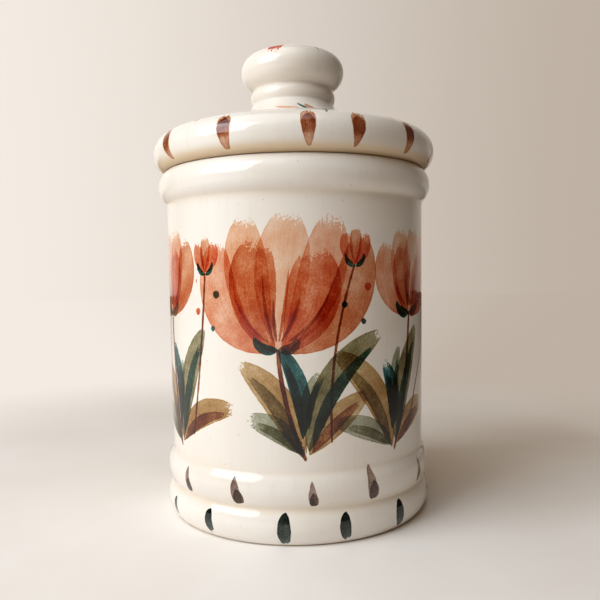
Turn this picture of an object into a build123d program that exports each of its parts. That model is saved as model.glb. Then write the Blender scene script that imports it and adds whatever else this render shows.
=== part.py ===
"""A lidded kitchen canister in glazed stoneware.

A straight-walled jar with a rolled shoulder and a double-beaded foot, a thick lid with a rolled rim, a
turned knob luted on top of the lid, and a silicone seal round the lid's spigot. Millimetres, +Z up, with the
origin on the table at the middle of the foot. Every piece is turned about the Z axis.
"""

import os
from math import atan2, degrees

from build123d import *

quarter_turn = 90  # degrees
upward, downward = (0, 1), (0, -1)  # headings in a section

# The fit of pieces that slide or turn on each other
running_gap = 0.3  # on a radius

# The jar
wall_radius = 56.0  # outside of the wall, just below the shoulder
wall_taper = 0.8  # how far the wall draws in towards the foot
wall_thickness = 6.0
rim_height = 145.2  # the flat seat on top of the shoulder, above the table
rim_stand = 0.6  # the seat's outer edge stands this far out of the wall
rim_round = 1.2
floor_thickness = 7.0
floor_corner = 8.0  # radius where the wall meets the floor inside

shoulder_height = 13.6
shoulder_bulge = 3.4  # how far the shoulder stands out of the wall
shoulder_fillet = 2.5

foot_ring_width = 9.0
foot_recess = 2.5  # depth of the hollow inside the foot ring
foot_inset = 1.2  # the foot's outer edge lies this far inside the wall's outside
foot_round = 1.2
lower_bead_height = 13.7
lower_bead_bulge = 1.7  # how far it stands out of the wall
lower_bead_widest = 7.5  # height of its widest place above the table
upper_bead_height = 13.4
upper_bead_bulge = 1.5
upper_bead_widest = 7.6  # height of its widest place above the groove below it
bead_groove_depth = 0.7  # the groove between the beads lies this far inside the wall's outside
bead_groove_fillet = 1.5
bead_top_fillet = 4.0  # where the upper bead runs into the wall

# The seal
seal_flange = 0.8  # thickness of the flange that is squeezed between the lid and the rim
seal_flange_inset = 3.6  # the flange's outer edge lies this far inside the rim's seat
seal_flange_round = 0.3
seal_sleeve = 1.8  # wall of the sleeve round the spigot
seal_sleeve_length = 9.0
seal_fin_count = 2
seal_fin_root = 1.6  # thickness of a wiping fin where it leaves the sleeve
seal_fin_tip = 0.7
seal_fin_rise = 1.2  # a fin's tip lies this far above its root

# The lid
lid_overhang = 1.85  # beyond the shoulder
lid_rim_height = 14.8
lid_rim_widest = 7.15  # height of the rim's widest place above the lid's underside
lid_rim_roll_under = 4.45  # how far the rim rolls in below its widest place
lid_rim_roll_over = 5.75  # how far it rolls in above it
lid_dome_rise = 7.0  # from the top of the rim to the knob's seat
lid_plate = 7.0  # thickness of the lid over the hollow under it
spigot_gap = 4.6  # between the spigot and the mouth, which the seal bridges
spigot_depth = 15.0
spigot_wall = 5.5
spigot_round = 1.5
seal_groove = 1.2  # depth of the groove that holds the seal's sleeve
hollow_fillet = 4.0

# The knob
knob_radius = 22.6
knob_seat_radius = 24.0
knob_seat_margin = 0.4  # the flat seat on the lid is this much wider than the knob's foot
knob_seat_edge = 0.5  # upright edge at the foot of the knob
knob_flare_height = 7.8
knob_flare_hollow = 0.5  # how far the flare curves in from a straight cone
knob_flare_top = 17.8  # radius where the flare runs into the collar
knob_flare_fillet = 0.8
knob_collar_radius = 18.65
knob_collar_height = 6.1
knob_neck_radius = 17.4
knob_neck_fillet = 0.9
knob_ball_lower = 8.2  # from the neck up to the ball's widest place
knob_ball_upper = 10.6  # from there to the top
knob_ball_edge = 7.6  # radius of the ball's upper edge, in section
knob_core_radius = 7.0
knob_core_cover = 9.0  # clay left above the knob's hollow core
vent_radius = 3.0  # lets air out of the hollow knob in the kiln

# Radii and heights that follow
mouth_radius = wall_radius - wall_thickness
rim_radius = wall_radius + rim_stand
foot_radius = wall_radius - foot_inset
foot_inner = foot_radius - foot_ring_width
groove_radius = wall_radius - bead_groove_depth
lower_bead_radius = wall_radius + lower_bead_bulge
upper_bead_radius = wall_radius + upper_bead_bulge
wall_foot = wall_radius - wall_taper
floor_height = foot_recess + floor_thickness
bead_top = lower_bead_height + upper_bead_height
shoulder_bottom = rim_height - shoulder_height

lid_bottom = rim_height + seal_flange
lid_radius = wall_radius + shoulder_bulge + lid_overhang
lid_under_edge = lid_radius - lid_rim_roll_under
lid_top_edge = lid_radius - lid_rim_roll_over
lid_rim_top = lid_bottom + lid_rim_height
knob_seat = lid_rim_top + lid_dome_rise
knob_land = knob_seat_radius + knob_seat_margin
spigot_radius = mouth_radius - spigot_gap
spigot_inner = spigot_radius - spigot_wall
spigot_bottom = lid_bottom - spigot_depth
groove_floor = spigot_radius - seal_groove
dome_slope = lid_dome_rise / (lid_top_edge - knob_land)
hollow_top = knob_seat - lid_plate
hollow_edge = hollow_top - dome_slope * (spigot_inner - knob_land)

seal_inner = groove_floor + running_gap
seal_sleeve_outer = seal_inner + seal_sleeve
seal_fin_reach = mouth_radius - running_gap
seal_bottom = rim_height - seal_sleeve_length
seal_outer = rim_radius - seal_flange_inset
seal_fin_pitch = seal_sleeve_length / (seal_fin_count + 1)

knob_collar_bottom = knob_seat + knob_flare_height
knob_neck = knob_collar_bottom + knob_collar_height
knob_widest = knob_neck + knob_ball_lower
knob_top = knob_widest + knob_ball_upper
knob_core_top = knob_top - knob_core_cover
# The ball's crown is an arc on the axis that runs smoothly into the rounded edge
knob_edge_middle = knob_radius - knob_ball_edge
knob_crown_rise = knob_ball_upper - knob_ball_edge
knob_crown_radius = (knob_edge_middle**2 + knob_crown_rise**2) / (2 * knob_crown_rise) + knob_ball_edge
knob_crown_start = degrees(atan2(knob_crown_radius - knob_ball_upper, knob_edge_middle))


def ring(piece, radius, height):
    """The turned edge of a piece that lies nearest to this radius and height."""
    edges = piece.edges().filter_by(GeomType.CIRCLE)
    return edges.sort_by(lambda edge: abs(edge.radius - radius) + abs(edge.arc_center.Z - height))[0]


# The jar: one turned wall, with a foot ring under it and a flat seat on its shoulder
with BuildPart() as jar_body:
    with BuildSketch(Plane.XZ):
        with BuildLine():
            underside = Polyline(
                (0, foot_recess),
                (foot_inner, foot_recess),
                (foot_inner, 0),
                (foot_radius, 0),
            )
            lower_belly = (lower_bead_radius, lower_bead_widest)
            upper_belly = (upper_bead_radius, lower_bead_height + upper_bead_widest)
            groove = (groove_radius, lower_bead_height)
            TangentArc(lower_belly, underside @ 1, tangent=downward)
            TangentArc(lower_belly, groove, tangent=upward)
            TangentArc(upper_belly, groove, tangent=downward)
            bead_end = TangentArc(upper_belly, (wall_foot, bead_top), tangent=upward)
            wall = Line(bead_end @ 1, (wall_radius, shoulder_bottom))
            shoulder = ThreePointArc(
                wall @ 1,
                (wall_radius + shoulder_bulge, rim_height - shoulder_height / 2),
                (rim_radius, rim_height),
            )
            mouth = Line(shoulder @ 1, (mouth_radius, rim_height))
            Polyline(mouth @ 1, (mouth_radius, floor_height), (0, floor_height), underside @ 0)
        make_face()
    revolve(axis=Axis.Z)
    fillet(ring(jar_body, wall_radius, shoulder_bottom), shoulder_fillet)
    fillet(ring(jar_body, mouth_radius, floor_height), floor_corner)
    fillet(ring(jar_body, wall_foot, bead_top), bead_top_fillet)
    fillet(ring(jar_body, groove_radius, lower_bead_height), bead_groove_fillet)
    fillet(ring(jar_body, rim_radius, rim_height), rim_round)
    fillet(ring(jar_body, mouth_radius, rim_height), rim_round)
    fillet(ring(jar_body, foot_radius, 0), foot_round)
    fillet(ring(jar_body, foot_inner, 0), foot_round)
jar_body.part.label = "jar_body"

# The seal: a flange on the rim, a sleeve round the spigot and fins that wipe the mouth
with BuildPart() as seal_ring:
    with BuildSketch(Plane.XZ):
        with BuildLine():
            Polyline(
                (seal_inner, lid_bottom),
                (seal_outer, lid_bottom),
                (seal_outer, rim_height),
                (seal_sleeve_outer, rim_height),
                (seal_sleeve_outer, seal_bottom),
                (seal_inner, seal_bottom),
                close=True,
            )
        make_face()
        for fin in range(seal_fin_count):
            fin_root = seal_bottom + seal_fin_pitch * (fin + 1)
            fin_tip = fin_root + seal_fin_rise
            with BuildLine():
                Polyline(
                    (seal_inner, fin_root - seal_fin_root / 2),
                    (seal_sleeve_outer, fin_root - seal_fin_root / 2),
                    (seal_fin_reach, fin_tip - seal_fin_tip / 2),
                    (seal_fin_reach, fin_tip + seal_fin_tip / 2),
                    (seal_sleeve_outer, fin_root + seal_fin_root / 2),
                    (seal_inner, fin_root + seal_fin_root / 2),
                    close=True,
                )
            make_face()
    revolve(axis=Axis.Z)
    fillet(ring(seal_ring, seal_outer, lid_bottom), seal_flange_round)
    fillet(ring(seal_ring, seal_outer, rim_height), seal_flange_round)
seal_ring.part.label = "seal_ring"

# The lid: a rolled rim that runs into a low dome, a flat land for the knob, a vent through it, and a spigot
# with the seal's groove
with BuildPart() as lid:
    with BuildSketch(Plane.XZ):
        with BuildLine():
            under = Polyline(
                (vent_radius, hollow_top),
                (knob_land, hollow_top),
                (spigot_inner, hollow_edge),
                (spigot_inner, spigot_bottom),
                (spigot_radius, spigot_bottom),
                (spigot_radius, seal_bottom - running_gap),
                (groove_floor, seal_bottom - running_gap),
                (groove_floor, lid_bottom),
                (lid_under_edge, lid_bottom),
            )
            rim = ThreePointArc(
                under @ 1,
                (lid_radius, lid_bottom + lid_rim_widest),
                (lid_top_edge, lid_rim_top),
            )
            dome = TangentArc(rim @ 1, (knob_land, knob_seat), tangent=rim % 1)
            Polyline(dome @ 1, (vent_radius, knob_seat), under @ 0)
        make_face()
    revolve(axis=Axis.Z)
    fillet(ring(lid, spigot_inner, hollow_edge), hollow_fillet)
    fillet(ring(lid, spigot_inner, spigot_bottom), spigot_round)
    fillet(ring(lid, spigot_radius, spigot_bottom), spigot_round)
lid.part.label = "lid"

# The knob: a flared foot, a collar and a flattened ball, hollow at the core
with BuildPart() as knob:
    with BuildSketch(Plane.XZ):
        with BuildLine():
            seat = Polyline(
                (0, knob_core_top),
                (knob_core_radius, knob_core_top),
                (knob_core_radius, knob_seat),
                (knob_seat_radius, knob_seat),
                (knob_seat_radius, knob_seat + knob_seat_edge),
            )
            flare = ThreePointArc(
                seat @ 1,
                (
                    (knob_seat_radius + knob_flare_top) / 2 - knob_flare_hollow,
                    (knob_seat + knob_seat_edge + knob_collar_bottom) / 2 - knob_flare_hollow,
                ),
                (knob_flare_top, knob_collar_bottom),
            )
            ThreePointArc(
                flare @ 1,
                (knob_collar_radius, knob_collar_bottom + knob_collar_height / 2),
                (knob_neck_radius, knob_neck),
            )
            EllipticalCenterArc(
                (knob_neck_radius, knob_widest),
                knob_radius - knob_neck_radius,
                knob_ball_lower,
                start_angle=-quarter_turn,
                arc_size=quarter_turn,
            )
            CenterArc((knob_edge_middle, knob_widest), knob_ball_edge, 0, knob_crown_start)
            CenterArc(
                (0, knob_top - knob_crown_radius),
                knob_crown_radius,
                knob_crown_start,
                quarter_turn - knob_crown_start,
            )
            Line((0, knob_top), seat @ 0)
        make_face()
    revolve(axis=Axis.Z)
    fillet(ring(knob, knob_neck_radius, knob_neck), knob_neck_fillet)
    fillet(ring(knob, knob_flare_top, knob_collar_bottom), knob_flare_fillet)
knob.part.label = "knob"

os.makedirs("parts", exist_ok=True)
export_step(jar_body.part, "parts/jar_body.step")
export_step(seal_ring.part, "parts/seal_ring.step")
export_step(lid.part, "parts/lid.step")
export_step(knob.part, "parts/knob.step")
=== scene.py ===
"""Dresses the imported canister: cream-glazed stoneware with underglaze brushwork, and a silicone seal.

Every piece is a surface turned about the Z axis and stands where its CAD solid is. Drawing sizes are in
millimetres and become metres when a mesh is made. Angles run from the front (-Y) towards +X.
"""

from math import pi, radians
from typing import NamedTuple

import bpy
import mathutils
import numpy as np
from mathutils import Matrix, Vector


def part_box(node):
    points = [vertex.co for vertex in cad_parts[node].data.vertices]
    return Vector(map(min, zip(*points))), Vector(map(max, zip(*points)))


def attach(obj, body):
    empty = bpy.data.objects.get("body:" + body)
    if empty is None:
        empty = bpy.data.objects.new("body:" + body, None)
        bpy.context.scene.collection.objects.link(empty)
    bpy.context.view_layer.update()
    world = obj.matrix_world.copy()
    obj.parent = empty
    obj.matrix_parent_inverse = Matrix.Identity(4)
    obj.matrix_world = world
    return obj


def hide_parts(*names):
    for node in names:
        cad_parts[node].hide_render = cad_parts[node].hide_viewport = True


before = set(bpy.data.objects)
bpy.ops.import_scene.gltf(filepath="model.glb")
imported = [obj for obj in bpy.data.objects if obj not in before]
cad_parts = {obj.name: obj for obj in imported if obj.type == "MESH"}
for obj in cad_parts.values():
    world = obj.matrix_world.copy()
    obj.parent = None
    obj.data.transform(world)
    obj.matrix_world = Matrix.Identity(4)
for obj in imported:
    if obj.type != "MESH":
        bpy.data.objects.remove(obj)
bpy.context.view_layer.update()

MM = 0.001
jar_box, lid_box, knob_box, seal_box = (
    np.array(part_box(node)) / MM for node in ("jar_body", "lid", "knob", "seal_ring")
)

# Sizes of the jar
wall_radius = 56.0
wall_foot = 55.2  # the wall's radius just above the foot
mouth_radius = 50.0
rim_radius = 56.6
rim_height = jar_box[1][2]
shoulder_height = 13.6
shoulder_radius = 59.4
floor_height = 9.5
floor_corner = 8.0
foot_inner = 45.8
foot_radius = 54.8
foot_recess = 2.5
groove_radius = 55.3  # between the two foot beads
groove_height = 13.7
lower_bead_radius = 57.7
lower_bead_widest = 7.5
upper_bead_radius = 57.5
upper_bead_widest = 21.3
upper_bead_top = 27.1

# Sizes of the lid
lid_bottom = seal_box[1][2]
lid_radius = 61.25
lid_rim_widest = lid_bottom + 7.15
lid_rim_top = lid_bottom + 14.8
lid_under_edge = lid_radius - 4.45
lid_lip = 0.7  # the glazed edge hangs this far below the seal's top
lid_top_edge = lid_radius - 5.75
lid_plate = 7.0
spigot_radius = 45.4
spigot_inner = 39.9
spigot_bottom = lid_box[0][2]
spigot_groove = 44.2  # radius of the groove that holds the seal
hollow_slope = 0.226  # how steeply the roof over the lid's hollow falls outwards
vent_radius = 3.0

# Sizes of the seal
seal_bottom = seal_box[0][2]
seal_inner = 44.5
seal_sleeve = 46.3  # outside of the sleeve
seal_outer = 53.0
seal_fin_reach = 49.7
seal_fin_roots = (seal_bottom + 3.0, seal_bottom + 6.0)
seal_fin_half = 0.8  # half of a fin's thickness at its root
seal_fin_tip_half = 0.35
seal_fin_rise = 1.2  # a fin's tip lies this far above its root
seal_gap = 0.3

# Sizes of the knob
knob_seat = knob_box[0][2]
knob_top = knob_box[1][2]
knob_foot_radius = 24.0
knob_land = 24.4  # the lid's flat land under the knob
knob_foot_edge = 0.5
knob_flare_top = 17.8
knob_flare_middle = (20.4, knob_seat + 3.65)
knob_collar_radius = 18.65
knob_collar_bottom = knob_seat + 7.8
knob_neck = knob_seat + 13.9
knob_neck_radius = 17.4
knob_neck_hollow = 1.0  # radius of the hollow under the ball, in section
knob_widest = knob_seat + 22.1
knob_radius = 22.6
knob_edge = 7.6  # radius of the ball's upper edge, in section
knob_core_radius = 7.0
knob_core_top = knob_top - 9.0

# Fineness of the turned surfaces
jar_columns, lid_columns, knob_columns, seal_columns = 400, 400, 256, 256
outline_step = 0.1
fewest_points = 8  # on an oval
glaze_softness = 0.8  # how far the glaze rounds every edge, as the spread of a bell curve
knob_softness = 0.3
silicone_softness = 0.3
crisp_softness = 0.25  # at the joint
crisp_band = 1.0  # how far from the joint edges are fully crisp
crisp_reach = 3.0  # how far beyond that they grow as soft as the rest
bell_reach = 4  # spreads on either side, past which a bell curve is cut off
finest_row = 0.3
painted_row = 0.95  # widest row where brushwork lies
plain_row = 5.0
row_tolerance = 0.012  # how far a row may cut a curve's corner
least_bend = 1e-6

# How glaze gathers, with painted shade: shares in hollows, where gathered glaze is partly painted shade,
# and on undersides, all painted shade, and the radius beyond which that shade hangs there
pool_and_shade_width = 1.6  # how far the gathered glaze and painted shade spread along the outline
jar_pools_and_shade = (1.0, 0.2, mouth_radius)
# the lid's strong share on undersides paints shade on its rolled-under edge by the joint
lid_pools_and_shade = (1.0, 1.5, seal_outer)
knob_pools_and_shade = (0.15, 0.05, knob_core_radius)
no_pools_or_shade = (0, 0, 0)

# Where brushwork may lie
paint_inset = 3.0  # at least this far outside the mouth
paint_low = 0.5
paint_high = rim_height - 8.0
lid_paint_low = lid_bottom + 1.0


def line(start, end):
    """Evenly spaced points from start to end."""
    count = max(2, int(np.hypot(*np.subtract(end, start)) / outline_step))
    return np.linspace(start, end, count)


def lines(*corners):
    """Straight runs from corner to corner."""
    return np.vstack([line(a, b) for a, b in zip(corners, corners[1:])])


def oval(centre, across, up, start, end):
    """Centre plus (across times cosine, up times sine) of an angle that runs from start to end."""
    count = max(fewest_points, int(abs(end - start) * max(across, up) / outline_step))
    turn = np.linspace(start, end, count)
    return np.add(centre, np.c_[across * np.cos(turn), up * np.sin(turn)])


def arc(start, middle, end):
    """The stretch from start to end of the circle through three points, whose centre is as far from each."""
    first, second, third = (np.array(point) for point in (start, middle, end))
    sides = 2 * np.array([second - first, third - first])
    centre = np.linalg.solve(sides, [second @ second - first @ first, third @ third - first @ first])
    spokes = np.array([first, second, third]) - centre
    angles = np.unwrap(np.arctan2(spokes[:, 1], spokes[:, 0]))
    radius = np.hypot(*spokes[0])
    return oval(centre, radius, radius, angles[0], angles[2])


def arc_on(run, end):
    """An arc that carries on smoothly from a run of points.

    It bows by half its chord times the tangent of half the angle between the chord and the run's last
    heading.
    """
    start, heading = run[-1], run[-1] - run[-2]
    chord = np.subtract(end, start)
    turn = np.arctan2(chord[0] * heading[1] - chord[1] * heading[0], chord @ heading)
    bow = np.tan(turn / 2) / 2 * np.array([-chord[1], chord[0]])
    return arc(start, start + chord / 2 + bow, end)


def belly(widest, end):
    """An arc from a bead's widest place, where it stands upright, to its end.

    The circle's centre lies level with the widest place, as far from it as from the end.
    """
    inward, up = widest[0] - end[0], end[1] - widest[1]
    radius = (inward**2 + up**2) / (2 * inward)
    return oval((widest[0] - radius, widest[1]), radius, radius, 0, np.arcsin(up / radius))


def bell_curve(width):
    """Weights that fall with the square of the way along an outline, exp(-x^2 / 2 w^2), and add up to 1."""
    reach = int(bell_reach * width / outline_step)
    bell = np.exp(-0.5 * (np.arange(-reach, reach + 1) * outline_step / width) ** 2)
    return bell / bell.sum()


def soften(points, width, closed):
    """The outline walked in even steps and averaged along its length under a bell curve of this width.

    A closed outline carries on round. An open one starts and ends on the axis and carries on mirrored.
    """
    walked = np.r_[0, np.cumsum(np.hypot(*np.diff(points, axis=0).T))]
    places = np.linspace(0, walked[-1], int(walked[-1] / outline_step) + 1)
    even = np.c_[np.interp(places, walked, points[:, 0]), np.interp(places, walked, points[:, 1])]
    bell = bell_curve(width)
    reach = len(bell) // 2
    if closed:
        before, after = even[-reach - 1 : -1], even[1 : reach + 1]
    else:
        mirror = even * (-1, 1)
        before, after = mirror[reach:0:-1], mirror[-2 : -reach - 2 : -1]
    padded = np.vstack([before, even, after])
    return np.c_[np.convolve(padded[:, 0], bell, "valid"), np.convolve(padded[:, 1], bell, "valid")]


def pooled_and_shaded(bend, heading, radius, pools_and_shade):
    """Where glaze gathers and shade is painted on an outline, averaged along it under a bell curve as wide as
    the glaze runs together.

    It is a share of how sharply the outline turns hollow, gathered glaze that is partly painted shade, plus
    a share of the cube of how far it faces down, which is painted shade on undersides.
    """
    hollows, undersides, beyond = pools_and_shade
    # facing down: painted shade on undersides; turning hollow: gathered glaze, partly painted shade
    underside_shade = (radius > beyond) * np.maximum(np.cos(heading), 0) ** 3
    gathered = hollows * np.maximum(-bend, 0) + undersides * underside_shade
    return np.convolve(gathered, bell_curve(pool_and_shade_width), "same")


def pick_rows(points, widest, pools_and_shade):
    """Points of a softened outline, and how much gathered glaze and painted shade lies at each.

    Their spacing is the chord that cuts a curve's corner by the tolerance, the square root of 8 tolerances
    over the bend, and at most widest.
    """
    run = np.gradient(points, outline_step, axis=0)
    heading = np.unwrap(np.arctan2(run[:, 1], run[:, 0]))
    bend = np.gradient(heading, outline_step)
    spacing = np.sqrt(8 * row_tolerance / np.maximum(np.abs(bend), least_bend))
    spacing = np.clip(spacing, finest_row, np.maximum(widest, finest_row))
    count = np.cumsum(outline_step / spacing)
    whole = np.arange(len(points))
    picked = np.interp(np.linspace(count[0], count[-1], int(count[-1]) + 1), count, whole)
    hollow = np.interp(picked, whole, pooled_and_shaded(bend, heading, points[:, 0], pools_and_shade))
    return np.c_[np.interp(picked, whole, points[:, 0]), np.interp(picked, whole, points[:, 1])], hollow


class Skin(NamedTuple):
    """A turned mesh object and each vertex's radius, height, angle and way along the outline."""

    piece: bpy.types.Object
    radius: np.ndarray
    height: np.ndarray
    angle: np.ndarray
    along: np.ndarray


def turn_piece(name, outline, columns, softness, painted, closed, pools_and_shade=no_pools_or_shade, crisp=()):
    """An outline (radius, height) turned about Z: x = r sin a, y = -r cos a, z = h, for even angles a.

    painted(radius, height) says where rows are close. Ends on the axis become poles, and a closed outline
    becomes a ring. Within a crisp band of heights, and fading out beyond it, edges are rounded less.
    """
    smooth = soften(outline, softness, closed)
    if crisp:
        beyond = np.maximum(0, np.maximum(crisp[0] - smooth[:, 1], smooth[:, 1] - crisp[1]))
        share = np.clip(1 - beyond / crisp_reach, 0, 1)[:, None]
        smooth = share * soften(outline, crisp_softness, closed) + (1 - share) * smooth
    widest = np.where(painted(smooth[:, 0], smooth[:, 1]), painted_row, plain_row)
    # with how much gathered glaze and painted shade lies at each row
    rows, hollow = pick_rows(smooth, widest, pools_and_shade)
    walked = np.r_[0, np.cumsum(np.hypot(*np.diff(rows, axis=0).T))]
    kept = slice(0, -1) if closed else slice(1, -1)
    angles = np.linspace(-pi, pi, columns, endpoint=False)
    radius, angle = np.meshgrid(rows[kept, 0], angles, indexing="ij")
    height, along = (np.repeat(values[kept], columns) for values in (rows[:, 1], walked))
    pool_and_shade = np.repeat(hollow[kept], columns)
    radius, angle = radius.ravel(), angle.ravel()

    grid = np.arange(radius.size).reshape(-1, columns)
    right = np.roll(grid, -1, axis=1)
    lower = (grid, right) if closed else (grid[:-1], right[:-1])
    upper = (np.roll(grid, -1, axis=0), np.roll(right, -1, axis=0)) if closed else (grid[1:], right[1:])
    quads = np.stack([lower[0], lower[1], upper[1], upper[0]], axis=-1).reshape(-1, 4)
    fans = np.empty((0, 3), int)
    if not closed:
        first, last = radius.size, radius.size + 1
        bottom = np.stack([np.full(columns, first), right[0], grid[0]], axis=-1)
        top = np.stack([grid[-1], right[-1], np.full(columns, last)], axis=-1)
        fans = np.vstack([bottom, top])
        radius, angle, pool_and_shade = (np.r_[values, 0, 0] for values in (radius, angle, pool_and_shade))
        height, along = np.r_[height, rows[[0, -1], 1]], np.r_[along, 0, walked[-1]]

    mesh = bpy.data.meshes.new(name)
    places = MM * np.c_[radius * np.sin(angle), -radius * np.cos(angle), height]
    corners = np.r_[quads.ravel(), fans.ravel()].astype(np.int32)
    starts = np.r_[np.arange(len(quads)) * 4, quads.size + np.arange(len(fans)) * 3].astype(np.int32)
    mesh.vertices.add(len(places))
    mesh.vertices.foreach_set("co", places.ravel())
    mesh.loops.add(len(corners))
    mesh.loops.foreach_set("vertex_index", corners)
    mesh.polygons.add(len(starts))
    mesh.polygons.foreach_set("loop_start", starts)
    mesh.update(calc_edges=True)
    mesh.validate()
    mesh.shade_smooth()
    # each vertex's share of gathered glaze and painted shade
    mesh.attributes.new("pool_and_shade", "FLOAT", "POINT").data.foreach_set("value", pool_and_shade)
    piece = bpy.data.objects.new(name, mesh)
    bpy.context.collection.objects.link(piece)
    return Skin(piece, radius, height, angle, along)


def jar_painted(radius, height):
    """The jar's outside, from the foot to the shoulder."""
    return (radius > mouth_radius + paint_inset) & (height > paint_low) & (height < paint_high)


def lid_painted(radius, height):
    """The lid's rim and dome."""
    return (height > lid_paint_low) & (radius > knob_foot_radius)


def knob_painted(radius, height):
    """The upper half of the knob's ball, and its flared foot."""
    return (height > knob_widest) | ((height < knob_collar_bottom) & (radius > knob_flare_top))


def never_painted(radius, height):
    """Nowhere."""
    return np.zeros(radius.shape, bool)


# The four outlines
shoulder_bottom = rim_height - shoulder_height
jar_outline = np.vstack([
    lines((0, foot_recess), (foot_inner, foot_recess), (foot_inner, 0), (foot_radius, 0)),
    belly((lower_bead_radius, lower_bead_widest), (foot_radius, 0))[::-1],
    belly((lower_bead_radius, lower_bead_widest), (groove_radius, groove_height)),
    belly((upper_bead_radius, upper_bead_widest), (groove_radius, groove_height))[::-1],
    belly((upper_bead_radius, upper_bead_widest), (wall_foot, upper_bead_top)),
    line((wall_foot, upper_bead_top), (wall_radius, shoulder_bottom)),
    arc(
        (wall_radius, shoulder_bottom),
        (shoulder_radius, rim_height - shoulder_height / 2),
        (rim_radius, rim_height),
    ),
    lines((rim_radius, rim_height), (mouth_radius, rim_height), (mouth_radius, floor_height + floor_corner)),
    oval((mouth_radius - floor_corner, floor_height + floor_corner), floor_corner, floor_corner, 0, -pi / 2),
    line((mouth_radius - floor_corner, floor_height), (0, floor_height)),
])
lid_rim_run = arc(
    (lid_under_edge, lid_bottom - lid_lip), (lid_radius, lid_rim_widest), (lid_top_edge, lid_rim_top)
)
lid_outline = np.vstack([
    lines(
        (vent_radius, knob_seat - lid_plate),
        (knob_land, knob_seat - lid_plate),
        (spigot_inner, knob_seat - lid_plate - hollow_slope * (spigot_inner - knob_land)),
        (spigot_inner, spigot_bottom),
        (spigot_radius, spigot_bottom),
        (spigot_radius, seal_bottom - seal_gap),
        (spigot_groove, seal_bottom - seal_gap),
        (spigot_groove, lid_bottom),
        (seal_outer, lid_bottom),
        (lid_under_edge, lid_bottom - lid_lip),
    ),
    lid_rim_run,
    arc_on(lid_rim_run, (knob_land, knob_seat)),
    lines((knob_land, knob_seat), (vent_radius, knob_seat), (vent_radius, knob_seat - lid_plate)),
])
seal_side = [(seal_sleeve, seal_bottom)]
for root in seal_fin_roots:
    seal_side += [
        (seal_sleeve, root - seal_fin_half),
        (seal_fin_reach, root + seal_fin_rise - seal_fin_tip_half),
        (seal_fin_reach, root + seal_fin_rise + seal_fin_tip_half),
        (seal_sleeve, root + seal_fin_half),
    ]
seal_outline = lines(
    (seal_inner, seal_bottom),
    *seal_side,
    (seal_sleeve, rim_height),
    (seal_outer, rim_height),
    (seal_outer, lid_bottom),
    (seal_inner, lid_bottom),
    (seal_inner, seal_bottom),
)
# The ball's underside is an arc that runs smoothly into the hollow, so both turn by the same angle
under_turn = 2 * np.arctan2(knob_radius - knob_neck_radius, knob_widest - knob_neck)
under_ball = (knob_widest - knob_neck) / np.sin(under_turn) - knob_neck_hollow
# The ball's upper edge runs smoothly into the crown, a wide arc about the axis
crown_middle = knob_radius - knob_edge
crown_rise = knob_top - knob_widest - knob_edge
crown_radius = (crown_middle**2 + crown_rise**2) / (2 * crown_rise) + knob_edge
crown_start = np.arctan2(crown_radius - (knob_top - knob_widest), crown_middle)
knob_outline = np.vstack([
    lines((0, knob_core_top), (knob_core_radius, knob_core_top), (knob_core_radius, knob_seat)),
    lines(
        (knob_core_radius, knob_seat),
        (knob_foot_radius, knob_seat),
        (knob_foot_radius, knob_seat + knob_foot_edge),
    ),
    arc(
        (knob_foot_radius, knob_seat + knob_foot_edge),
        knob_flare_middle,
        (knob_flare_top, knob_collar_bottom),
    ),
    arc(
        (knob_flare_top, knob_collar_bottom),
        (knob_collar_radius, (knob_collar_bottom + knob_neck) / 2),
        (knob_neck_radius, knob_neck),
    ),
    oval(
        (knob_neck_radius + knob_neck_hollow, knob_neck),
        knob_neck_hollow,
        knob_neck_hollow,
        pi,
        pi - under_turn,
    ),
    oval((knob_radius - under_ball, knob_widest), under_ball, under_ball, -under_turn, 0),
    oval((crown_middle, knob_widest), knob_edge, knob_edge, 0, crown_start),
    oval((0, knob_top - crown_radius), crown_radius, crown_radius, crown_start, pi / 2),
])

jar = turn_piece(
    "stoneware_jar",
    jar_outline,
    jar_columns,
    glaze_softness,
    jar_painted,
    closed=False,
    pools_and_shade=jar_pools_and_shade,
    crisp=(rim_height - crisp_band, rim_height),
)
lid = turn_piece(
    "stoneware_lid",
    lid_outline,
    lid_columns,
    glaze_softness,
    lid_painted,
    closed=True,
    pools_and_shade=lid_pools_and_shade,
    crisp=(lid_bottom - crisp_band, lid_bottom + crisp_band),
)
knob = turn_piece(
    "stoneware_knob",
    knob_outline,
    knob_columns,
    knob_softness,
    knob_painted,
    closed=False,
    pools_and_shade=knob_pools_and_shade,
)
seal = turn_piece("silicone_seal", seal_outline, seal_columns, silicone_softness, never_painted, closed=True)

# Pigments of the brushwork, as they look at one full load on the white glaze
coral = "#dd8a66"
terracotta = "#c46a43"
rust = "#a8623f"
vermilion = "#cf5433"
peach = "#efc4a8"
sienna = "#8a4a2e"
olive = "#77704c"
khaki = "#a9834f"
sage = "#8b917a"
pine = "#16474a"
umber = "#5c443a"
slate = "#2a3634"

# How the strokes are kept on a skin
layer_count = 18
stroke_margin = 1.6  # strokes of one layer stay this far apart
spine_points = 160
seed_step = 7.3  # between the bristle marks of one stroke and those of the next
shortest_dry = 0.05


def linear(hex_colour):
    """An sRGB hex colour as linear red, green and blue, by the sRGB curve."""
    srgb = np.array([int(hex_colour[place : place + 2], 16) for place in (1, 3, 5)]) / 255
    return np.where(srgb <= 0.04045, srgb / 12.92, ((srgb + 0.055) / 1.055) ** 2.4)


class Stroke(NamedTuple):
    """One pull of the brush on an unrolled canvas, in millimetres."""

    start: tuple
    end: tuple
    bow: float  # how far its middle swings to the left of the pull
    width: float
    belly: tuple  # powers of the way behind and ahead, whose product gives the width
    pigment: str
    load: float = 1.0
    fade: float = 0.0  # share of the load that is gone at the end
    dry: float = 0.0  # length of the ragged end


class Canvas(NamedTuple):
    """Flat coordinates of a skin's vertices, which of them take paint, and the length round if it closes."""

    right: np.ndarray
    up: np.ndarray
    takes: np.ndarray
    round: float


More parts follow.
